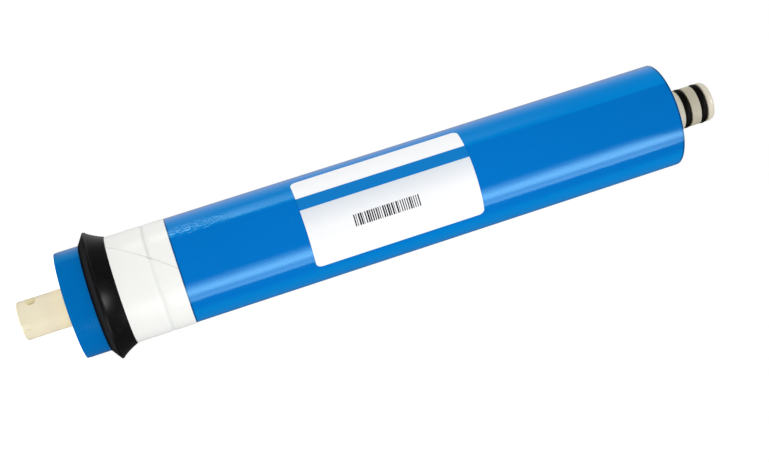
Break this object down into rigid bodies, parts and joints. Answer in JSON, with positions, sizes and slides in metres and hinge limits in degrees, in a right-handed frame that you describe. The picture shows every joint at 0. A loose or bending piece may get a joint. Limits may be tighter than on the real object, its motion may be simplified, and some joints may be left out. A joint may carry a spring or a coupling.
{
  "type": "ro membrane element",
  "caption": "Slim spiral-wound reverse osmosis element: wrapped round body with a lip seal and tape near one end, a bare tube stub there and an O-ring spigot at the other.",
  "frame": {"origin": "centre of the feed-end tube's foot, on the surface that the element stands on", "axes": "+Z runs along the axis from the feed end to the product end; -Y faces the middle of the label"},
  "size_m": [0.0528, 0.0528, 0.2984],
  "materials": {
    "tube_plastic": "cream moulded plastic, satin",
    "ring_rubber": "black rubber, greased",
    "carrier_cloth": "fine white knitted cloth, edge soaked with glue",
    "membrane_sheet": "thin white sheet with a smooth skin",
    "spacer_net": "clear to pale grey plastic net",
    "wrap_film": "glossy blue film",
    "seal_rubber": "black moulded rubber, half gloss",
    "tape": "soft white tape with fine creases",
    "label_film": "white label film with plain printed fields"
  },
  "bodies": {
    "root": {"product_tube": "tube_plastic", "o_ring_inboard": "ring_rubber", "o_ring_outboard": "ring_rubber", "permeate_carrier": "carrier_cloth", "membrane_leaf": "membrane_sheet", "feed_spacer": "spacer_net", "end_wrap": "wrap_film", "outer_wrap": "wrap_film", "brine_seal": "seal_rubber", "seal_tape": "tape", "label": "label_film"}
  },
  "joints": []
}
